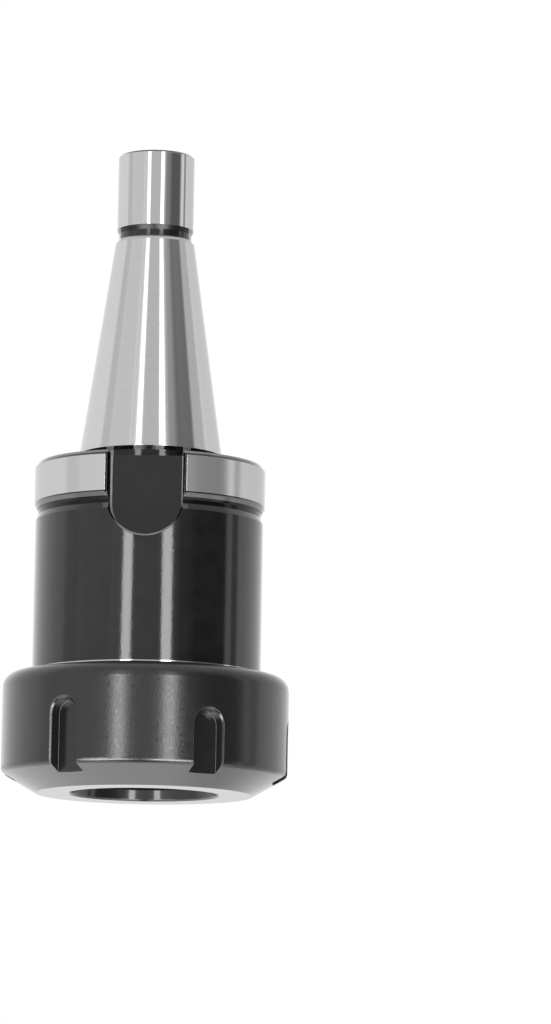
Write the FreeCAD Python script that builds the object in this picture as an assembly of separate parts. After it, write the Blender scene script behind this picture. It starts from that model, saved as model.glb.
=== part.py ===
import FreeCAD, Part
import math
import os

from FreeCAD import Vector

# Collet chuck holder with a 7/24 taper shank and a slotted clamping nut.
# Millimetres. The nut's front face stands on z = 0, the shank points along +Z,
# and a key slot of the drive flange faces -Y.

# Clamping nut, outside
nut_diameter = 63.0
nut_length = 26.2
nut_wall = 6.5
nut_chamfer_depth = 7.7
nut_chamfer_length = 4.4
nut_chamfer_radius = 1.5
nut_top_radius = 3.2
face_ring_width = 7.4
opening_edge = 0.4
opening_flare = 0.4
opening_land = 2.5

# Spanner slots in the nut
spanner_slot_count = 6
spanner_slot_width = 6.6
spanner_slot_depth = 3.3
spanner_slot_length = 16.1
spanner_slot_bevel = 0.55
spanner_slot_turn = 28.3
long_slot_index = 5
long_slot_extra = 2.2

# Clamping nut, inside
cone_half_angle = 30.0
collet_head_land = 0.7
seat_lip = 1.1
thread_entry_bevel = 0.8

# Screw thread between nut and body, drawn plain at its roots
thread_pitch = 1.5
thread_depth_per_pitch = 0.6134
thread_length = 8.3
thread_relief_depth = 0.4
thread_end_bevel = 0.8

# Extraction ring and the spring ring that keeps it in the nut
ring_under_thread = 2.0
ring_seat_width = 2.4
ring_wall = 3.8
ring_thickness = 2.6
ring_bore_offset = 0.8
ring_bore_bevel = 0.4
ring_clearance = 0.05
spring_ring_thickness = 1.0
spring_ring_width = 1.7
spring_ring_groove_depth = 1.0
spring_ring_gap_angle = 24.0

# Cylindrical body below the flange
body_over_thread = 0.23
body_gap_above_nut = 0.3
body_lower_bevel = 0.15
body_top = 60.1
body_top_bevel_height = 1.3
neck_groove_depth = 0.55
neck_groove_width = 0.85

# Drive flange
flange_over_body = 0.27
flange_lower_bevel_height = 1.35
flange_face = 72.9
flange_upper_bevel = 1.0
flange_upper_bevel_depth = 0.65
flange_slot_bevel = 0.9

# Key slots in the flange
key_slot_width = 16.1
key_slot_floor = 16.2
key_slot_bottom = 54.3
key_slot_floor_bevel = 0.25
key_slot_bevel = 0.4

# Shank
gauge_diameter = 31.75
taper_ratio = 7.0 / 24.0
gauge_gap = 1.6
relief_neck_depth = 0.575
taper_start_above_face = 2.4
taper_undercut_height = 0.85
taper_end_above_face = 50.9
taper_end_bevel_depth = 0.5
taper_end_bevel_height = 0.8
pilot_below_gauge = 14.75
pilot_groove_depth = 0.4
pilot_groove_end = 52.3
pilot_start_above_face = 53.3
pilot_edge = 0.4
shank_length = 70.2

# Collet socket and the hole through the shank
nose_wall = 5.0
socket_half_angle = 8.0
socket_depth = 36.0
socket_edge = 0.5
clearance_bore_diameter = 27.0
clearance_bore_depth = 50.0
drill_half_angle = 59.0
pilot_wall = 2.5
draw_thread_length = 24.0
draw_thread_step = 0.9
draw_thread_runout = 1.0
draw_countersink_width = 0.6
draw_countersink_half_angle = 30.0

# Slack for cutters that start or end outside the metal
overcut = 2.0


def slope(angle_degrees):
    return math.tan(math.radians(angle_degrees))


# Diameters that follow from the nut's outside
thread_diameter = nut_diameter - 2 * nut_wall
nut_face_diameter = nut_diameter - 2 * nut_chamfer_depth
opening_diameter = nut_face_diameter - 2 * face_ring_width
spanner_slot_floor = nut_diameter / 2 - spanner_slot_depth
ring_diameter = thread_diameter - 2 * ring_under_thread
collet_head_diameter = ring_diameter - 2 * ring_seat_width
ring_bore_diameter = ring_diameter - 2 * ring_wall
body_diameter = thread_diameter + 2 * body_over_thread
neck_groove_diameter = body_diameter - 2 * neck_groove_depth
flange_diameter = body_diameter + 2 * flange_over_body
socket_diameter = thread_diameter - 2 * nose_wall

# Diameters that follow from the taper's gauge diameter
relief_neck_diameter = gauge_diameter - 2 * relief_neck_depth
pilot_diameter = gauge_diameter - pilot_below_gauge
pilot_groove_diameter = pilot_diameter - 2 * pilot_groove_depth
draw_thread_diameter = pilot_diameter - 2 * pilot_wall
through_hole_diameter = draw_thread_diameter - 2 * draw_thread_step
draw_countersink_diameter = draw_thread_diameter + 2 * draw_countersink_width

# Heights inside the nut, from its front face
cone_width = (collet_head_diameter - opening_diameter) / 2 + opening_flare
cone_end = opening_land + cone_width / slope(cone_half_angle)
ring_seat = cone_end + collet_head_land
ring_top = ring_seat + ring_thickness + 2 * ring_clearance
spring_groove_top = ring_top + spring_ring_thickness + 2 * ring_clearance
nose_seat = spring_groove_top + seat_lip

# Radii and heights of the chuck body
thread_root_radius = thread_diameter / 2 - thread_depth_per_pitch * thread_pitch
thread_end = nose_seat + thread_length
body_start = nut_length + body_gap_above_nut
neck_groove_start = body_top + body_top_bevel_height
neck_groove_end = neck_groove_start + neck_groove_width
flange_start = neck_groove_end + flange_lower_bevel_height
gauge_height = flange_face + gauge_gap
taper_start = flange_face + taper_start_above_face
taper_end = flange_face + taper_end_above_face
taper_end_bevel_start = taper_end - taper_end_bevel_height
pilot_end = flange_face + shank_length
socket_end = nose_seat + socket_depth
clearance_bore_end = nose_seat + clearance_bore_depth


def taper_radius(height):
    return gauge_diameter / 2 - (height - gauge_height) * taper_ratio / 2


def corner(radius, height, rounding=0.0):
    """One corner of a turned outline: distance from the axis, height, and its rounding."""
    return Vector(radius, 0, height), rounding


def outline_edges(corners):
    """Straight runs between the corners, with an arc where a corner is rounded."""
    starts = []
    edges = []
    for index, (point, rounding) in enumerate(corners):
        if rounding == 0:
            starts.append((point, point))
            continue
        to_last = (corners[index - 1][0] - point).normalize()
        to_next = (corners[(index + 1) % len(corners)][0] - point).normalize()
        half_angle = to_last.getAngle(to_next) / 2
        reach = rounding / math.tan(half_angle)
        arc_start = point + to_last * reach
        arc_end = point + to_next * reach
        middle = (to_last + to_next).normalize()
        arc_middle = point + middle * (rounding / math.sin(half_angle) - rounding)
        edges.append(Part.Arc(arc_start, arc_middle, arc_end).toShape())
        starts.append((arc_start, arc_end))
    for index, (arc_start, arc_end) in enumerate(starts):
        following = starts[(index + 1) % len(starts)][0]
        if arc_end.distanceToPoint(following) > 1e-6:
            edges.append(Part.LineSegment(arc_end, following).toShape())
    return edges


def turned(corners):
    """A solid turned about the Z axis from a closed outline."""
    wire = Part.Wire(Part.__sortEdges__(outline_edges(corners)))
    return Part.Face(wire).revolve(Vector(0, 0, 0), Vector(0, 0, 1), 360)


def slot_outline(width, round_height, open_height, distance):
    """A slot's outline at a distance along -Y: one half-round end, one square end."""
    side = width / 2
    toward_open = 1 if open_height > round_height else -1
    centre_height = round_height + toward_open * side
    left_open = Vector(-side, -distance, open_height)
    left_round = Vector(-side, -distance, centre_height)
    tip = Vector(0, -distance, round_height)
    right_round = Vector(side, -distance, centre_height)
    right_open = Vector(side, -distance, open_height)
    edges = [
        Part.LineSegment(left_open, left_round).toShape(),
        Part.Arc(left_round, tip, right_round).toShape(),
        Part.LineSegment(right_round, right_open).toShape(),
        Part.LineSegment(right_open, left_open).toShape(),
    ]
    return Part.Wire(edges)


def spanner_slot_cutter(top_height):
    """An end-milled slot, open at the nut's front, with a bevel round its rim."""
    open_height = -overcut
    floor_wire = slot_outline(spanner_slot_width, top_height, open_height, spanner_slot_floor)
    reach = Vector(0, spanner_slot_floor - nut_diameter / 2 - overcut, 0)
    slot = Part.Face(floor_wire).extrude(reach)
    bevel_start = nut_diameter / 2 - spanner_slot_bevel
    flare = spanner_slot_bevel + overcut
    inner_wire = slot_outline(spanner_slot_width, top_height, open_height, bevel_start)
    outer_wire = slot_outline(
        spanner_slot_width + 2 * flare, top_height + flare, open_height, bevel_start + flare)
    bevel = Part.makeLoft([inner_wire, outer_wire], True, True)
    return slot.fuse(bevel)


def make_clamping_nut():
    root = thread_diameter / 2
    opening = opening_diameter / 2
    recess = ring_diameter / 2 + ring_clearance
    groove = recess + spring_ring_groove_depth
    nut = turned([
        corner(opening + opening_edge, 0),
        corner(nut_face_diameter / 2, 0),
        corner(nut_diameter / 2, nut_chamfer_length, nut_chamfer_radius),
        corner(nut_diameter / 2, nut_length, nut_top_radius),
        corner(root + thread_entry_bevel, nut_length),
        corner(root, nut_length - thread_entry_bevel),
        corner(root, nose_seat),
        corner(recess, nose_seat),
        corner(recess, spring_groove_top),
        corner(groove, spring_groove_top),
        corner(groove, ring_top),
        corner(recess, ring_top),
        corner(recess, ring_seat),
        corner(collet_head_diameter / 2, ring_seat),
        corner(collet_head_diameter / 2, cone_end),
        corner(opening - opening_flare, opening_land),
        corner(opening, opening_edge),
    ])
    for index in range(spanner_slot_count):
        extra = long_slot_extra if index == long_slot_index else 0
        cutter = spanner_slot_cutter(spanner_slot_length + extra)
        turn = spanner_slot_turn + index * 360 / spanner_slot_count
        cutter.rotate(Vector(0, 0, 0), Vector(0, 0, 1), turn)
        nut = nut.cut(cutter)
    return nut


def make_extraction_ring():
    bottom = ring_seat + ring_clearance
    top = bottom + ring_thickness
    ring = Part.makeCylinder(ring_diameter / 2, ring_thickness, Vector(0, 0, bottom))
    lip = ring_bore_diameter / 2
    bore = turned([
        corner(0, bottom - overcut),
        corner(lip + ring_bore_bevel + overcut, bottom - overcut),
        corner(lip, bottom + ring_bore_bevel),
        corner(lip, top - ring_bore_bevel),
        corner(lip + ring_bore_bevel + overcut, top + overcut),
        corner(0, top + overcut),
    ])
    bore.translate(Vector(ring_bore_offset, 0, 0))
    return ring.cut(bore)


def make_retaining_ring():
    bottom = ring_top + ring_clearance
    outer = ring_diameter / 2 + spring_ring_groove_depth
    inner = outer - spring_ring_width
    face = Part.Face(Part.makePolygon([
        Vector(inner, 0, bottom),
        Vector(outer, 0, bottom),
        Vector(outer, 0, bottom + spring_ring_thickness),
        Vector(inner, 0, bottom + spring_ring_thickness),
        Vector(inner, 0, bottom),
    ]))
    ring = face.revolve(Vector(0, 0, 0), Vector(0, 0, 1), 360 - spring_ring_gap_angle)
    ring.rotate(Vector(0, 0, 0), Vector(0, 0, 1), 90 + spring_ring_gap_angle / 2)
    return ring


def key_slot_cutter():
    """The milled slot for a drive key: flat floor, half-round lower end."""
    open_height = flange_face + overcut
    wire = slot_outline(key_slot_width, key_slot_bottom, open_height, key_slot_floor)
    slot = Part.Face(wire).extrude(Vector(0, key_slot_floor - flange_diameter / 2 - overcut, 0))
    floor_edges = []
    for edge in slot.Edges:
        on_floor = abs(edge.BoundBox.YMin + key_slot_floor) < 1e-4 and edge.BoundBox.YLength < 1e-4
        if on_floor and edge.BoundBox.ZMin < open_height - 1e-4:
            floor_edges.append(edge)
    return slot.makeChamfer(key_slot_floor_bevel, floor_edges)


def slotted(blank, outer_radius, bevel):
    """The blank with both key slots milled and their rims bevelled."""
    for turn in (0, 180):
        cutter = key_slot_cutter()
        cutter.rotate(Vector(0, 0, 0), Vector(0, 0, 1), turn)
        blank = blank.cut(cutter)
    slack = 0.05
    rims = []
    for edge in blank.Edges:
        box = edge.BoundBox
        on_rim = True
        for vertex in edge.Vertexes:
            on_rim = on_rim and abs(math.hypot(vertex.X, vertex.Y) - outer_radius) < slack
        beside_slot = max(abs(box.XMin), abs(box.XMax)) < key_slot_width / 2 + slack
        below_face = box.ZMin < flange_face - slack
        above_bottom = box.ZMin > key_slot_bottom - slack
        if on_rim and beside_slot and below_face and above_bottom:
            rims.append(edge)
    return blank.makeChamfer(bevel, rims)


def make_slotted_body():
    """Nose and body as one cylinder up to the flange's face, with its key slots."""
    blank = turned([
        corner(0, nose_seat),
        corner(thread_root_radius - thread_end_bevel, nose_seat),
        corner(thread_root_radius, nose_seat + thread_end_bevel),
        corner(thread_root_radius, thread_end),
        corner(thread_root_radius - thread_relief_depth, thread_end + thread_relief_depth),
        corner(thread_root_radius - thread_relief_depth, body_start),
        corner(body_diameter / 2 - body_lower_bevel, body_start),
        corner(body_diameter / 2, body_start + body_lower_bevel),
        corner(body_diameter / 2, flange_face),
        corner(0, flange_face),
    ])
    return slotted(blank, body_diameter / 2, key_slot_bevel)


def make_slotted_flange():
    """The flange as a ring round the body, with its key slots."""
    blank = turned([
        corner(neck_groove_diameter / 2 - overcut, neck_groove_end),
        corner(flange_diameter / 2, neck_groove_end),
        corner(flange_diameter / 2, flange_face),
        corner(neck_groove_diameter / 2 - overcut, flange_face),
    ])
    return slotted(blank, flange_diameter / 2, flange_slot_bevel)


def make_neck_groove_cutter():
    """What is turned away between the body and the flange."""
    return turned([
        corner(body_diameter / 2, body_top),
        corner(neck_groove_diameter / 2, neck_groove_start),
        corner(neck_groove_diameter / 2, neck_groove_end),
        corner(flange_diameter / 2, flange_start),
        corner(flange_diameter / 2 + overcut, flange_start),
        corner(flange_diameter / 2 + overcut, body_top),
    ])


def make_flange_bevel_cutter():
    """What is turned away from the flange's upper edge."""
    return turned([
        corner(flange_diameter / 2, flange_face - flange_upper_bevel),
        corner(flange_diameter / 2 + overcut, flange_face - flange_upper_bevel),
        corner(flange_diameter / 2 + overcut, flange_face),
        corner(flange_diameter / 2 - flange_upper_bevel_depth, flange_face),
    ])


def make_shank():
    """Relief neck, ground taper, groove and pilot."""
    return turned([
        corner(0, flange_face - overcut),
        corner(relief_neck_diameter / 2, flange_face - overcut),
        corner(relief_neck_diameter / 2, taper_start - taper_undercut_height),
        corner(taper_radius(taper_start), taper_start),
        corner(taper_radius(taper_end_bevel_start), taper_end_bevel_start),
        corner(taper_radius(taper_end) - taper_end_bevel_depth, taper_end),
        corner(pilot_groove_diameter / 2, taper_end),
        corner(pilot_groove_diameter / 2, flange_face + pilot_groove_end),
        corner(pilot_diameter / 2, flange_face + pilot_start_above_face),
        corner(pilot_diameter / 2, pilot_end - pilot_edge),
        corner(pilot_diameter / 2 - pilot_edge, pilot_end),
        corner(0, pilot_end),
    ])


def make_inner_space():
    """The collet socket, the clearance bore behind it and the draw-bar hole."""
    socket_small = socket_diameter / 2 - socket_depth * slope(socket_half_angle)
    clearance = clearance_bore_diameter / 2
    hole = through_hole_diameter / 2
    draw_root = draw_thread_diameter / 2
    drill_tip = clearance_bore_end + (clearance - hole) / slope(drill_half_angle)
    thread_bottom = pilot_end - draw_thread_length
    sink = draw_countersink_diameter / 2
    sink_depth = (sink - draw_root) / slope(draw_countersink_half_angle)
    mouth = socket_diameter / 2 + socket_edge
    return turned([
        corner(0, nose_seat - overcut),
        corner(mouth, nose_seat - overcut),
        corner(mouth, nose_seat),
        corner(socket_diameter / 2 - socket_edge * slope(socket_half_angle), nose_seat + socket_edge),
        corner(socket_small, socket_end),
        corner(clearance, socket_end),
        corner(clearance, clearance_bore_end),
        corner(hole, drill_tip),
        corner(hole, thread_bottom - draw_thread_runout),
        corner(draw_root, thread_bottom),
        corner(draw_root, pilot_end - sink_depth),
        corner(sink, pilot_end),
        corner(sink, pilot_end + overcut),
        corner(0, pilot_end + overcut),
    ])


def make_chuck_body():
    body = make_slotted_body().fuse(make_slotted_flange())
    body = body.cut(make_neck_groove_cutter()).cut(make_flange_bevel_cutter())
    return body.fuse(make_shank()).cut(make_inner_space()).removeSplitter()


def main():
    os.makedirs("parts", exist_ok=True)
    nodes = {
        "chuck_body": make_chuck_body(),
        "clamping_nut": make_clamping_nut(),
        "extraction_ring": make_extraction_ring(),
        "retaining_ring": make_retaining_ring(),
    }
    for name, shape in nodes.items():
        print(name, "valid" if shape.isValid() else "NOT VALID", len(shape.Solids), "solid(s)",
              round(shape.Volume), "mm3")
        shape.exportStep("parts/" + name + ".step")


main()
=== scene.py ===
import math

import bpy
from mathutils import Matrix, Vector


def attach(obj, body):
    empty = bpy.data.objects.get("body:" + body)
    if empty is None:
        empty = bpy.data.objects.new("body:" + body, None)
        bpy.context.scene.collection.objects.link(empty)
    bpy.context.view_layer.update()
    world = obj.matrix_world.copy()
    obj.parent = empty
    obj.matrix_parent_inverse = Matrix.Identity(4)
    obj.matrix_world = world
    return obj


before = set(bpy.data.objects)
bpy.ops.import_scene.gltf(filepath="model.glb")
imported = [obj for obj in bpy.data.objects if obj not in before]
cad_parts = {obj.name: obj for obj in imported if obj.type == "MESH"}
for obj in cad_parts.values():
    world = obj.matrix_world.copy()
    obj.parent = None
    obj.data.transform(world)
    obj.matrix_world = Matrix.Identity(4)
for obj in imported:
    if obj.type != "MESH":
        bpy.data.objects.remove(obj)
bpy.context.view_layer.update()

# Collet chuck holder with a steep-taper shank and a slotted clamping nut.
# Metres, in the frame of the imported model: the nut's face is on z = 0, the shank
# points along +Z and a key slot of the flange faces -Y.

MM = 0.001
FULL_TURN = 360.0

# Heights and radii of the ground surfaces of the chuck body, in millimetres
PILOT_BOTTOM = 126.25
PILOT_TOP = 142.7
PILOT_INSIDE = 8.2
TAPER_BOTTOM = 75.3
TAPER_TOP = 123.78
TAPER_INSIDE = 8.02
TAPER_END_BEVEL = 0.8
FLANGE_BOTTOM = 64.0
FLANGE_TOP = 71.9
FLANGE_INSIDE = 25.42
FLANGE_BEVEL_BOTTOM = 72.4
FLANGE_BEVEL_TOP = 72.86
FLANGE_BEVEL_INSIDE = 24.7
BODY_END_TOP = 26.95
BODY_END_INSIDE = 24.9

# Heights of the grooves and bevels between them, in millimetres
GROOVE_BOTTOM = 61.3
GROOVE_TOP = 62.8
LOWER_BEVEL_TOP = 63.7
FLANGE_FACE = 72.9
PILOT_CONE_BOTTOM = 125.2

# Key slots, in millimetres
SLOT_BOTTOM = 54.3
SLOT_ROUND_HEIGHT = 62.35
SLOT_HALF_WIDTH = 8.05
SLOT_REACH = 9.3
SLOT_FLOOR = 16.2
SLOT_WALL_FOOT = 0.2
SLOT_FLOOR_EDGE_WIDTH = 0.5
SLOT_FLOOR_EDGE_HEIGHT = 0.3
SLOT_RIM_INSIDE = 24.6
SLOT_RIM_TOP = 63.3

# Face and mouth of the nut, in millimetres
NUT_FACE_TOP = 0.05
NUT_FACE_RADIUS = 23.82
NUT_MOUTH_TOP = 2.6
NUT_MOUTH_RADIUS = 17.0

# How gradually one finish gives way to the next, in millimetres
LINE_BLUR = 0.06
STEP_BLUR = 0.1
FLANGE_LINE_BLUR = 0.08
FLANGE_STEP_BLUR = 0.04
NUT_FACE_BLUR = 0.03

# Grey levels at both ends of a metal's pattern
CHUCK_OXIDE = (0.002, 0.004)
GROUND_STEEL = (0.585, 0.615)
NUT_OXIDE = (0.003, 0.009)
NUT_FACE_STEEL = (0.36, 0.42)
RING_STEEL = (0.24, 0.32)
SPRING_STEEL = (0.40, 0.50)

# Grey levels of rubbed edges (on the chuck and the nut partly rubbed bare and partly painted
# highlight), of the painted highlight line round a key slot's floor, and of ground metal that
# reflects less
CHUCK_WEAR_AND_HIGHLIGHT = 0.2
SLOT_FLOOR_HIGHLIGHT = 0.22
DULL_GROUND = 0.45
NUT_WEAR_AND_HIGHLIGHT = 0.25
RING_RUBBED = 0.5
SPRING_RUBBED = 0.62

# Painted shade that turns the oxide of the groove, the neck and the pilot's cone towards near-black
# metal; the share of the flange's upper bevel ground bright; rubbed grey on its lower bevel, partly
# rubbed bare and partly painted highlight
GROOVE_SHADE = 0.6
NECK_SHADE = 0.35
PILOT_CONE_SHADE = 0.5
UPPER_BEVEL_GROUND = 0.25
LOWER_BEVEL_WEAR_AND_HIGHLIGHT = 0.25

# Patterns: how many of their features fit into a metre
CHUCK_PATCHES = 260.0
CHUCK_GRAINS = 2600.0
NUT_PATCHES = 190.0
NUT_GRAINS = 2200.0
SPECKS = 3000.0

# Turning marks: their spacing in millimetres and how often they break off in a turn
CHUCK_MARKS = (0.11, 1.6)
NUT_MARKS = (0.16, 1.2)
RING_MARKS = (0.14, 1.4)
SPRING_MARKS = (0.2, 1.0)

# Roundings that the finish gives to sharp edges, in millimetres
CHUCK_ROUNDING = 0.2
NUT_ROUNDING = 0.22
RING_ROUNDING = 0.15
SPRING_ROUNDING = 0.1

# Relief of the grain: how strongly it shows, and its height in millimetres
GRAIN_STRENGTH = 0.5
GRAIN_HEIGHT = 0.012
RING_MARK_STRENGTH = 0.2
RING_MARK_HEIGHT = 0.004

# Roughness that each finish starts from, and of the nut's ground face
CHUCK_OXIDE_ROUGHNESS = 0.05
GROUND_ROUGHNESS = 0.035
NUT_OXIDE_ROUGHNESS = 0.185
NUT_FACE_ROUGHNESS = 0.22
RING_ROUGHNESS = 0.2
SPRING_ROUGHNESS = 0.18

# Screw threads, in millimetres: M50 x 1.5 between nut and body, and M12 x 1.75 for the
# draw bar, all right-handed. The nut's ridge winds half a turn behind the nose's.
THREADS = {
    "nose_thread": {
        "body": "chuck", "slot": "chuck_steel", "pitch": 1.5, "phase": 0.0,
        "root": 24.04, "crest": 24.95, "start": 17.3, "end": 24.0,
        "root width": 1.23, "crest width": 0.19, "steps": 96,
    },
    "nut_thread": {
        "body": "nut", "slot": "nut_steel", "pitch": 1.5, "phase": 0.5,
        "root": 25.04, "crest": 24.19, "start": 16.7, "end": 25.4,
        "root width": 1.35, "crest width": 0.37, "steps": 96,
    },
    "draw_bar_thread": {
        "body": "chuck", "slot": "chuck_steel", "pitch": 1.75, "phase": 0.0,
        "root": 6.03, "crest": 5.12, "start": 119.6, "end": 141.6,
        "root width": 1.5, "crest width": 0.42, "steps": 48,
    },
}
RUN_OUT_TURNS = 0.35

# Camera: fitted to the edges of the shank, flange, body and nut
CAMERA_PLACE = (0.04318, -1.03133, -0.09295)
CAMERA_YAW = 0.85
CAMERA_PITCH = 8.61
CAMERA_ROLL = 0.94
CAMERA_LENS = 165.6
CAMERA_SENSOR = 36.0
CAMERA_NEAR = 0.05
CAMERA_FAR = 20.0
CAMERA_AZIMUTH = math.degrees(math.atan2(CAMERA_PLACE[0], -CAMERA_PLACE[1]))

# Studio: what stands round the object. Each card has a brightness, two side edges
# in degrees from the camera's place, positive to the right, with their softness,
# and a lower and an upper edge in degrees above the horizon, with theirs. A later
# card stands in front of an earlier one.
STUDIO_WHITE = 1.0
STUDIO_BELOW = 2.3
BELOW_START = -8.0
BELOW_END = -75.0
STUDIO_CARDS = {
    "side of the left sheet": (0.75, -93.0, -74.0, 6.0, -62.0, 62.0, 32.0),
    "left sheet": (0.85, -74.0, -30.0, 12.0, -62.0, 62.0, 32.0),
    "seam of the left sheet": (0.98, -37.5, -34.5, 1.5, -62.0, 62.0, 32.0),
    "wall behind the camera": (0.73, -16.0, 14.0, 3.0, -62.0, 62.0, 32.0),
    "near part of the dark card": (0.31, 27.0, 50.0, 14.0, -38.0, 38.0, 56.0),
    "dark card": (0.145, 44.0, 80.5, 12.0, -38.0, 41.0, 56.0),
    "foot of the dark card": (0.145, 60.0, 84.5, 5.0, -38.0, 10.0, 3.0),
    "right sheet": (0.88, 106.0, 158.0, 18.0, -62.0, 62.0, 32.0),
    "upper part of the right edge": (0.66, 79.0, 103.0, 8.0, 17.0, 62.0, 8.0),
    "thin edge at the right": (0.38, 92.5, 101.5, 4.0, -62.0, 17.0, 8.0),
    "dark floor in front": (0.2, -40.0, 30.0, 12.0, -110.0, -44.0, 8.0),
    "low lamp at the left": (11.0, -55.0, -14.0, 18.0, -46.0, -24.0, 12.0),
    "low lamp at the right": (14.0, 6.0, 40.0, 14.0, -46.0, -24.0, 12.0),
    "top of the left strip": (2.4, -26.0, -17.0, 0.8, 9.0, 34.0, 6.0),
    "top of the right strip": (2.4, 14.0, 24.1, 0.8, 9.0, 34.0, 6.0),
    "left lamp strip": (8.3, -26.0, -16.6, 0.8, -24.0, 11.0, 1.6),
    "right lamp strip": (8.3, 14.0, 24.1, 0.8, -24.0, 11.0, 1.6),
}

# Floor, in metres, and the share of its reach over which it is opaque
FLOOR_REACH = 0.55
FLOOR_DROP = 0.0001
FLOOR_SOLID_SHARE = 0.3
FLOOR_COLOUR = (0.80, 0.80, 0.80, 1.0)


# Shader arithmetic

def add_node(tree, kind, settings, values, output=0):
    """Adds one node: its settings first, then the values or links of its sockets."""
    node = tree.nodes.new(kind)
    for name, value in settings.items():
        setattr(node, name, value)
    for name, value in values.items():
        if isinstance(value, Wire):
            tree.links.new(value.socket, node.inputs[name])
        else:
            node.inputs[name].default_value = value
    return Wire(tree, node.outputs[output], node)


class Wire:
    """An output socket that takes part in Python sums: each operator adds a Math node."""

    def __init__(self, tree, socket, node):
        self.tree = tree
        self.socket = socket
        self.node = node

    def math(self, operation, *others, clamp=False):
        settings = {"operation": operation, "use_clamp": clamp}
        return add_node(self.tree, "ShaderNodeMath", settings, dict(enumerate((self,) + others)))

    def output(self, name):
        return Wire(self.tree, self.node.outputs[name], self.node)

    def __add__(self, other):
        return self.math("ADD", other)

    def __radd__(self, other):
        return self.math("ADD", other)

    def __sub__(self, other):
        return self.math("SUBTRACT", other)

    def __rsub__(self, other):
        return add_node(self.tree, "ShaderNodeMath", {"operation": "SUBTRACT"}, {0: other, 1: self})

    def __mul__(self, other):
        return self.math("MULTIPLY", other)

    def __rmul__(self, other):
        return self.math("MULTIPLY", other)

    def __truediv__(self, other):
        return self.math("DIVIDE", other)

    def clamped(self):
        return self.math("ADD", 0.0, clamp=True)

    def ramp(self, start, end):
        """0 at start and 1 at end, smooth, and level outside them."""
        values = {"Value": self, "From Min": start, "From Max": end}
        return add_node(self.tree, "ShaderNodeMapRange", {"interpolation_type": "SMOOTHSTEP"}, values)

    def past(self, limit, blur=STEP_BLUR):
        """0 up to a limit, and 1 from a blur beyond it."""
        return self.ramp(limit, limit + blur)

    def before(self, limit, blur=STEP_BLUR):
        """1 up to a blur short of a limit, and 0 beyond the limit."""
        return self.ramp(limit, limit - blur)

    def within(self, low, high, blur=LINE_BLUR):
        """1 between low and high, falling to 0 over a blur centred on each end."""
        rise = self.ramp(low - blur / 2, low + blur / 2)
        fall = self.ramp(high + blur / 2, high - blur / 2)
        return rise * fall


def grey(level):
    return (level, level, level, 1.0)


class Finish:
    """One material under construction, with the coordinates that its masks are made of."""

    def __init__(self, name):
        self.material = bpy.data.materials.new(name)
        self.material.use_nodes = True
        self.tree = self.material.node_tree
        self.tree.nodes.clear()
        self.place = self.node("ShaderNodeTexCoord", {}, {}, "Object")
        parts = self.node("ShaderNodeSeparateXYZ", {}, {0: self.place})
        self.x = parts.output("X") / MM
        self.y = parts.output("Y") / MM
        self.height = parts.output("Z") / MM
        self.radius = (self.x * self.x + self.y * self.y).math("SQRT")
        self.bearing = self.y.math("ARCTAN2", self.x)

    def node(self, kind, settings, values, output=0):
        return add_node(self.tree, kind, settings, values, output)

    def blend(self, share, first, second):
        """The first colour where the share is 0 and the second where it is 1."""
        values = {0: share, 6: first, 7: second}
        return self.node("ShaderNodeMix", {"data_type": "RGBA"}, values, 2)

    def mottled(self, pattern, low, high, levels):
        """The first grey level where the pattern is low, and the second where it is high."""
        return self.blend(pattern.ramp(low, high), grey(levels[0]), grey(levels[1]))

    def noise(self, scale, detail=2.0, roughness=0.5, vector=None):
        values = {
            "Vector": vector or self.place,
            "Scale": scale,
            "Detail": detail,
            "Roughness": roughness,
        }
        return self.node("ShaderNodeTexNoise", {}, values, "Fac")

    def turning_marks(self, spacing, break_up):
        """Fine rings round the axis, as a lathe or grinder leaves, broken up along each turn."""
        position = self.node("ShaderNodeCombineXYZ", {}, {
            0: self.bearing.math("SINE") * break_up,
            1: self.bearing.math("COSINE") * break_up,
            2: self.height / spacing + self.radius / spacing,
        })
        return self.noise(1.0, 3.0, 0.6, position)

    def rounded(self, radius_mm):
        """The surface normal with sharp edges rounded, and how near an edge is."""
        soft = self.node("ShaderNodeBevel", {"samples": 6}, {"Radius": radius_mm * MM})
        flat = self.node("ShaderNodeNewGeometry", {}, {}, "Normal")
        product = {"operation": "DOT_PRODUCT"}
        agreement = self.node("ShaderNodeVectorMath", product, {0: soft, 1: flat}, "Value")
        return soft, (1 - agreement).ramp(0.01, 0.2)

    def bumped(self, height, strength, distance_mm, normal):
        return self.node("ShaderNodeBump", {}, {
            "Height": height,
            "Strength": strength,
            "Distance": distance_mm * MM,
            "Normal": normal,
        })

    def finish(self, values):
        shader = self.node("ShaderNodeBsdfPrincipled", {}, values)
        output = self.tree.nodes.new("ShaderNodeOutputMaterial")
        self.tree.links.new(shader.socket, output.inputs["Surface"])
        return self.material


# Finishes

def ground_areas(steel):
    """Masks of the chuck's ground metal: all of it, the taper alone and the flange's rim alone."""
    pilot = steel.height.within(PILOT_BOTTOM, PILOT_TOP) * steel.radius.past(PILOT_INSIDE)
    taper = steel.height.within(TAPER_BOTTOM, TAPER_TOP) * steel.radius.past(TAPER_INSIDE)
    rim = steel.height.within(FLANGE_BOTTOM, FLANGE_TOP, FLANGE_LINE_BLUR)
    rim = rim * steel.radius.past(FLANGE_INSIDE, FLANGE_STEP_BLUR)
    bevel = steel.height.within(FLANGE_BEVEL_BOTTOM, FLANGE_BEVEL_TOP, STEP_BLUR)
    bevel = bevel * steel.radius.past(FLANGE_BEVEL_INSIDE)
    body_end = steel.height.before(BODY_END_TOP, LINE_BLUR) * steel.radius.past(BODY_END_INSIDE)
    ground = (pilot + taper + rim + bevel * UPPER_BEVEL_GROUND + body_end).clamped()
    return ground, taper, rim


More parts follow.
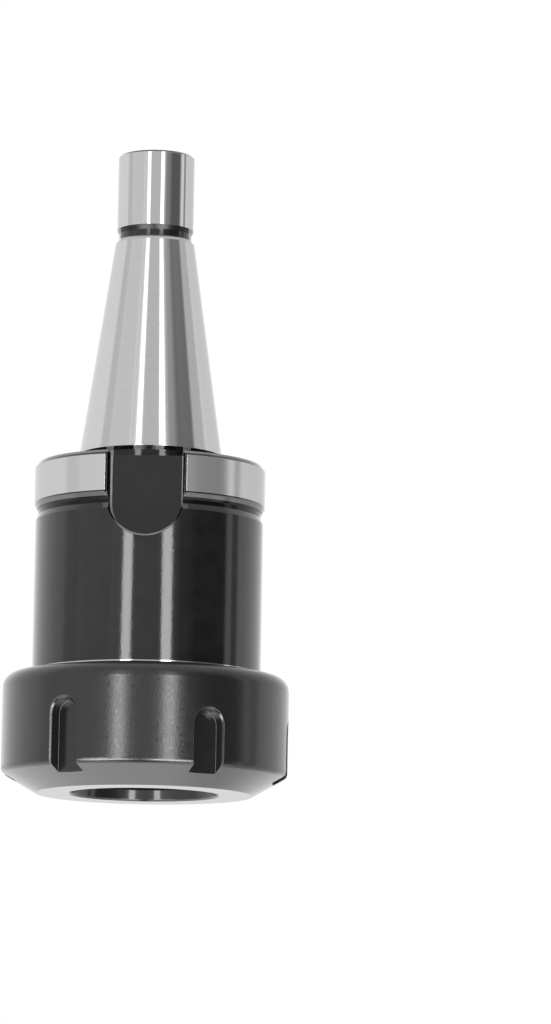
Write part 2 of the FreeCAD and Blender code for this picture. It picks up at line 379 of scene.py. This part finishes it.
def slot_areas(steel, across, in_slot):
    """Masks of a key slot: its side walls, which are made black as painted shade, the painted
    highlight line round its floor, and the rim of its round end, which gets rubbed grey that is
    partly rubbed bare and partly painted highlight.
    """
    normal = steel.node("ShaderNodeTexCoord", {}, {}, "Normal")
    facing = steel.node("ShaderNodeSeparateXYZ", {}, {0: normal})
    facing_x = facing.output("X")
    outward = (steel.x * facing_x + steel.y * facing.output("Y")) / steel.radius
    depth = steel.y.math("ABSOLUTE")
    wall = depth.past(SLOT_FLOOR + SLOT_WALL_FOOT, 0.3) * outward.ramp(0.97, 0.93)
    # Side walls: turned further down to near-black rough metal without coat, as painted shade.
    side = in_slot * facing_x.math("ABSOLUTE").ramp(0.3, 0.5) * wall
    below_round = (SLOT_ROUND_HEIGHT - steel.height).math("MAXIMUM", 0.0)
    from_middle = (across * across + below_round * below_round).math("SQRT")
    # A painted highlight line round the slot's floor, in place of the light on a rounded floor edge.
    floor_edge_highlight = in_slot * from_middle.past(SLOT_HALF_WIDTH - SLOT_FLOOR_EDGE_WIDTH, LINE_BLUR)
    floor_edge_highlight = floor_edge_highlight * depth.before(SLOT_FLOOR + SLOT_FLOOR_EDGE_HEIGHT)
    # Rim of the round end: given rubbed grey further down, partly rubbed bare and partly painted
    # highlight.
    rim = in_slot * facing.output("Z").ramp(0.25, 0.6) * steel.radius.past(SLOT_RIM_INSIDE, 0.2)
    rim = rim * steel.height.before(SLOT_RIM_TOP, 2.0)
    return side, floor_edge_highlight, rim


def chuck_finish():
    """Black-oxidised steel, with the pilot, taper and flange rim ground bright."""
    steel = Finish("chuck_steel_finish")
    ground, taper, rim = ground_areas(steel)
    across = steel.x.math("ABSOLUTE")
    in_slot = steel.height.past(SLOT_BOTTOM - 1, 1.0) * across.before(SLOT_REACH) * (1 - ground)
    shaded_slot_wall, floor_edge_highlight, slot_rim_rubbed_and_highlit = slot_areas(steel, across, in_slot)
    beside_slot = across.past(SLOT_HALF_WIDTH, 0.05)
    groove = steel.height.within(GROOVE_BOTTOM, GROOVE_TOP) * beside_slot
    # The flange's lower bevel band: it gets rubbed grey further down, partly rubbed bare and partly a
    # painted highlight.
    lower_bevel = steel.height.within(GROOVE_TOP, LOWER_BEVEL_TOP) * beside_slot
    neck = steel.height.within(FLANGE_FACE, TAPER_BOTTOM)
    pilot_cone = steel.height.within(PILOT_CONE_BOTTOM, PILOT_BOTTOM)
    # Painted shade: the groove, the neck and the pilot's cone turn towards near-black metal and lose
    # their coat.
    recess_shade = groove * GROOVE_SHADE + neck * NECK_SHADE + pilot_cone * PILOT_CONE_SHADE

    soft, edge = steel.rounded(CHUCK_ROUNDING)
    marks = steel.turning_marks(*CHUCK_MARKS)
    patches = steel.noise(CHUCK_PATCHES, 3.0)
    specks = steel.noise(SPECKS, 2.0, 0.6)
    grains = steel.noise(CHUCK_GRAINS, 1.0)

    oxide = steel.mottled(patches, 0.3, 0.7, CHUCK_OXIDE)
    # Rubbed grey on edges, on the slot's rim and on the flange's lower bevel: partly rubbed bare,
    # partly painted highlight. The slot walls stay black as painted shade.
    wear_and_highlight = (edge * 0.5 * (1 - in_slot) + slot_rim_rubbed_and_highlit * 0.6) * (1 - shaded_slot_wall)
    wear_and_highlight = wear_and_highlight + lower_bevel * LOWER_BEVEL_WEAR_AND_HIGHLIGHT
    worn_and_highlit = steel.blend(wear_and_highlight, oxide, grey(CHUCK_WEAR_AND_HIGHLIGHT))
    # Painted highlight line round the key slot's floor.
    worn_and_highlit = steel.blend(floor_edge_highlight, worn_and_highlit, grey(SLOT_FLOOR_HIGHLIGHT))
    bright = steel.mottled(marks, 0.25, 0.75, GROUND_STEEL)
    duller = rim * 0.6 + steel.height.within(TAPER_TOP - TAPER_END_BEVEL, TAPER_TOP)
    bright = steel.blend(duller, bright, grey(DULL_GROUND))

    oxide_roughness = CHUCK_OXIDE_ROUGHNESS + patches * 0.03 + specks * 0.02 + pilot_cone * 0.25
    oxide_roughness = oxide_roughness + (1 - oxide_roughness) * shaded_slot_wall
    ground_roughness = GROUND_ROUGHNESS + marks * 0.02 + rim * 0.08 + taper * 0.04
    relief = marks * (ground * 0.02 + rim * 2.0) + (specks * 0.1 + grains * 1.6) * (1 - ground)
    return steel.finish({
        "Base Color": steel.blend(ground, worn_and_highlit, bright),
        # Metallic with the near-black oxide colour darkens the slot walls, the groove, the neck and
        # the pilot's cone as painted shade.
        "Metallic": (ground + shaded_slot_wall + recess_shade).clamped() - rim * 0.15,
        "Roughness": oxide_roughness + (ground_roughness - oxide_roughness) * ground,
        "Normal": steel.bumped(relief, GRAIN_STRENGTH, GRAIN_HEIGHT, soft),
        "IOR": 1.54,
        "Specular Tint": grey(0.93),
        "Coat Weight": ((1 - ground) * (1 - shaded_slot_wall) * (1 - recess_shade)).clamped(),
        "Coat Roughness": 0.06,
        "Coat IOR": 1.18,
    })


def nut_finish():
    """Satin black oxide, with the front face ground bright."""
    steel = Finish("nut_steel_finish")
    face = steel.height.before(NUT_FACE_TOP, NUT_FACE_BLUR) * steel.radius.before(NUT_FACE_RADIUS)
    mouth = steel.height.before(NUT_MOUTH_TOP) * steel.radius.before(NUT_MOUTH_RADIUS)
    soft, edge = steel.rounded(NUT_ROUNDING)
    patches = steel.noise(NUT_PATCHES, 3.0)
    specks = steel.noise(SPECKS, 2.0, 0.65)
    grains = steel.noise(NUT_GRAINS, 0.0)
    sparks = grains.ramp(0.6, 0.68)
    marks = steel.turning_marks(*NUT_MARKS)

    oxide = steel.mottled(specks, 0.35, 0.75, NUT_OXIDE)
    # Rubbed grey on the nut's edges: partly rubbed bare, partly painted highlight.
    worn_and_highlit = steel.blend(edge * 0.45, oxide, grey(NUT_WEAR_AND_HIGHLIGHT))
    bright = steel.mottled(marks, 0.25, 0.75, NUT_FACE_STEEL)

    oxide_roughness = NUT_OXIDE_ROUGHNESS + patches * 0.05
    oxide_roughness = oxide_roughness * (1 - mouth * 0.6) * (1 - sparks * 0.6)
    relief = (specks * 1.5 + grains * 1.8) * (1 - face) * (1 - mouth) + marks * face * 0.05
    return steel.finish({
        "Base Color": steel.blend(face, worn_and_highlit, bright),
        "Metallic": face,
        "Roughness": oxide_roughness + (NUT_FACE_ROUGHNESS - oxide_roughness) * face,
        "Normal": steel.bumped(relief, GRAIN_STRENGTH, GRAIN_HEIGHT, soft),
        "IOR": 1.5,
        "Coat Weight": 1 - face,
        "Coat Roughness": 0.25,
        "Coat IOR": 1.25,
    })


def ring_finish():
    """Hardened steel, turned and left dark grey."""
    steel = Finish("ring_steel_finish")
    soft, edge = steel.rounded(RING_ROUNDING)
    marks = steel.turning_marks(*RING_MARKS)
    dark = steel.mottled(marks, 0.25, 0.75, RING_STEEL)
    return steel.finish({
        "Base Color": steel.blend(edge * 0.5, dark, grey(RING_RUBBED)),
        "Metallic": 1.0,
        "Roughness": RING_ROUGHNESS + marks * 0.12,
        "Normal": steel.bumped(marks, RING_MARK_STRENGTH, RING_MARK_HEIGHT, soft),
    })


def spring_finish():
    """Bright rolled spring steel."""
    steel = Finish("spring_steel_finish")
    soft, edge = steel.rounded(SPRING_ROUNDING)
    marks = steel.turning_marks(*SPRING_MARKS)
    rolled = steel.mottled(marks, 0.2, 0.8, SPRING_STEEL)
    return steel.finish({
        "Base Color": steel.blend(edge * 0.6, rolled, grey(SPRING_RUBBED)),
        "Metallic": 1.0,
        "Roughness": SPRING_ROUGHNESS + marks * 0.1,
        "Normal": soft,
    })


# Screw threads, as one ridge that winds round the axis

def thread_tree(name, material):
    """A helix with a trapezoid section that runs out at both ends, as a Geometry Nodes tree."""
    tree = bpy.data.node_groups.new(name, "GeometryNodeTree")
    for label in (
        "Turns", "Radius", "Pitch", "Start Height", "Start Turn",
        "Ridge Depth", "Root Width", "Crest Width", "Run Out",
    ):
        tree.interface.new_socket(name=label, in_out="INPUT", socket_type="NodeSocketFloat")
    tree.interface.new_socket(name="Steps", in_out="INPUT", socket_type="NodeSocketInt")
    tree.interface.new_socket(name="Geometry", in_out="OUTPUT", socket_type="NodeSocketGeometry")
    entry = tree.nodes.new("NodeGroupInput")
    result = tree.nodes.new("NodeGroupOutput")

    def given(label):
        return Wire(tree, entry.outputs[label], entry)

    helix = add_node(tree, "GeometryNodeCurveSpiral", {}, {
        "Resolution": given("Steps"),
        "Rotations": given("Turns"),
        "Start Radius": given("Radius"),
        "End Radius": given("Radius"),
        "Height": given("Turns") * given("Pitch"),
        "Reverse": False,
    })
    upright = add_node(tree, "GeometryNodeSetCurveNormal", {"mode": "Z_UP"}, {"Curve": helix})
    section = add_node(tree, "GeometryNodeCurvePrimitiveQuadrilateral", {"mode": "TRAPEZOID"}, {
        "Bottom Width": given("Root Width"),
        "Top Width": given("Crest Width"),
        "Offset": 0.0,
        "Height": given("Ridge Depth"),
    })
    turned = add_node(tree, "GeometryNodeTransform", {}, {
        "Geometry": section,
        "Rotation": (0.0, 0.0, math.pi / 2),
    })
    along = add_node(tree, "GeometryNodeSplineParameter", {}, {}, "Factor")
    ridge = add_node(tree, "GeometryNodeCurveToMesh", {}, {
        "Curve": upright,
        "Profile Curve": turned,
        "Scale": along.ramp(0.0, given("Run Out")) * (1 - along).ramp(0.0, given("Run Out")),
        "Fill Caps": True,
    })
    placed = add_node(tree, "GeometryNodeTransform", {}, {
        "Geometry": ridge,
        "Translation": add_node(tree, "ShaderNodeCombineXYZ", {}, {2: given("Start Height")}),
        "Rotation": add_node(tree, "ShaderNodeCombineXYZ", {}, {2: given("Start Turn")}),
    })
    real = add_node(tree, "GeometryNodeRealizeInstances", {}, {"Geometry": placed})
    coated = add_node(tree, "GeometryNodeSetMaterial", {}, {"Geometry": real, "Material": material})
    tree.links.new(coated.socket, result.inputs["Geometry"])
    return tree


def thread_ridge(name, material, sizes):
    """A thread as a plain mesh, from its Geometry Nodes tree and its named sizes."""
    tree = thread_tree(name + "_tree", material)
    carrier = bpy.data.objects.new(name + "_carrier", bpy.data.meshes.new(name + "_carrier"))
    bpy.context.scene.collection.objects.link(carrier)
    modifier = carrier.modifiers.new("thread", "NODES")
    modifier.node_group = tree
    for item in tree.interface.items_tree:
        if item.in_out == "INPUT":
            modifier[item.identifier] = sizes[item.name]
    graph = bpy.context.evaluated_depsgraph_get()
    mesh = bpy.data.meshes.new_from_object(carrier.evaluated_get(graph))
    mesh.name = name
    bpy.data.objects.remove(carrier)
    piece = bpy.data.objects.new(name, mesh)
    bpy.context.scene.collection.objects.link(piece)
    return piece


def ridge_sizes(thread):
    """Named sizes of a ridge between two heights, in step with a helix through z = 0 at no turn."""
    turns = (thread["end"] - thread["start"]) / thread["pitch"]
    return {
        "Turns": turns,
        "Radius": thread["root"] * MM,
        "Pitch": thread["pitch"] * MM,
        "Start Height": thread["start"] * MM,
        "Start Turn": 2 * math.pi * (thread["start"] / thread["pitch"] + thread["phase"]),
        "Ridge Depth": (thread["crest"] - thread["root"]) * MM,
        "Root Width": thread["root width"] * MM,
        "Crest Width": thread["crest width"] * MM,
        "Run Out": RUN_OUT_TURNS / turns,
        "Steps": thread["steps"],
    }


def make_threads(materials):
    for name, thread in THREADS.items():
        body = thread["body"]
        piece = thread_ridge(name, materials[body], ridge_sizes(thread))
        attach(piece, body)


# Studio and camera

def make_world():
    """The studio as the world's light: a white surround with its cards and lamp strips."""
    world = bpy.data.worlds.new("studio")
    bpy.context.scene.world = world
    world.use_nodes = True
    tree = world.node_tree
    tree.nodes.clear()
    direction = add_node(tree, "ShaderNodeTexCoord", {}, {}, "Generated")
    parts = add_node(tree, "ShaderNodeSeparateXYZ", {}, {0: direction})
    x, y, z = (parts.output(axis) for axis in "XYZ")
    bearing = x.math("ARCTAN2", y * -1.0) * math.degrees(1.0) - CAMERA_AZIMUTH
    wrapped = (bearing + 1.5 * FULL_TURN).math("MODULO", FULL_TURN) - FULL_TURN / 2
    elevation = z.math("ARCSINE") * math.degrees(1.0)
    level = elevation.ramp(BELOW_START, BELOW_END) * (STUDIO_BELOW - STUDIO_WHITE) + STUDIO_WHITE
    for brightness, left, right, side_softness, bottom, top, end_softness in STUDIO_CARDS.values():
        share = wrapped.within(left, right, side_softness)
        share = share * elevation.within(bottom, top, end_softness)
        level = level + (brightness - level) * share
    seen = add_node(tree, "ShaderNodeLightPath", {}, {}, "Is Camera Ray")
    strength = level + (1.0 - level) * seen
    values = {"Color": grey(1.0), "Strength": strength}
    background = add_node(tree, "ShaderNodeBackground", {}, values)
    output = tree.nodes.new("ShaderNodeOutputWorld")
    tree.links.new(background.socket, output.inputs["Surface"])


def make_floor():
    """A pale floor that is seen from above only and lets light through from below."""
    mesh = bpy.data.meshes.new("floor")
    corners = [(-1, -1), (1, -1), (1, 1), (-1, 1)]
    points = [(FLOOR_REACH * x, FLOOR_REACH * y, -FLOOR_DROP) for x, y in corners]
    mesh.from_pydata(points, [], [(0, 1, 2, 3)])
    floor = bpy.data.objects.new("floor", mesh)
    bpy.context.scene.collection.objects.link(floor)
    material = bpy.data.materials.new("floor_paint")
    material.use_nodes = True
    tree = material.node_tree
    tree.nodes.clear()
    place = add_node(tree, "ShaderNodeTexCoord", {}, {}, "Object")
    length = {"operation": "LENGTH"}
    distance = add_node(tree, "ShaderNodeVectorMath", length, {0: place}, "Value")
    fade = distance.ramp(FLOOR_REACH, FLOOR_REACH * FLOOR_SOLID_SHARE)
    seen = add_node(tree, "ShaderNodeLightPath", {}, {}, "Is Camera Ray")
    below = add_node(tree, "ShaderNodeNewGeometry", {}, {}, "Backfacing")
    paint = add_node(tree, "ShaderNodeBsdfDiffuse", {}, {"Color": FLOOR_COLOUR})
    clear = add_node(tree, "ShaderNodeBsdfTransparent", {}, {})
    values = {0: fade * seen * (1 - below), 1: clear, 2: paint}
    mixed = add_node(tree, "ShaderNodeMixShader", {}, values)
    output = tree.nodes.new("ShaderNodeOutputMaterial")
    tree.links.new(mixed.socket, output.inputs["Surface"])
    mesh.materials.append(material)


def make_camera():
    data = bpy.data.cameras.new("camera")
    data.lens = CAMERA_LENS
    data.sensor_width = CAMERA_SENSOR
    data.clip_start = CAMERA_NEAR
    data.clip_end = CAMERA_FAR
    camera = bpy.data.objects.new("camera", data)
    bpy.context.scene.collection.objects.link(camera)
    turn = Matrix.Rotation(math.radians(CAMERA_YAW), 4, "Z")
    tip = Matrix.Rotation(math.radians(90 + CAMERA_PITCH), 4, "X")
    roll = Matrix.Rotation(math.radians(CAMERA_ROLL), 4, "Z")
    camera.matrix_world = Matrix.Translation(Vector(CAMERA_PLACE)) @ turn @ tip @ roll
    bpy.context.scene.camera = camera


def dress(node, material):
    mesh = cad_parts[node].data
    mesh.materials.clear()
    mesh.materials.append(material)


def main():
    materials = {"chuck": chuck_finish(), "nut": nut_finish()}
    dress("chuck_body", materials["chuck"])
    dress("clamping_nut", materials["nut"])
    dress("extraction_ring", ring_finish())
    dress("retaining_ring", spring_finish())
    make_threads(materials)
    make_world()
    make_floor()
    make_camera()
    bpy.context.scene.view_settings.view_transform = "Standard"


main()
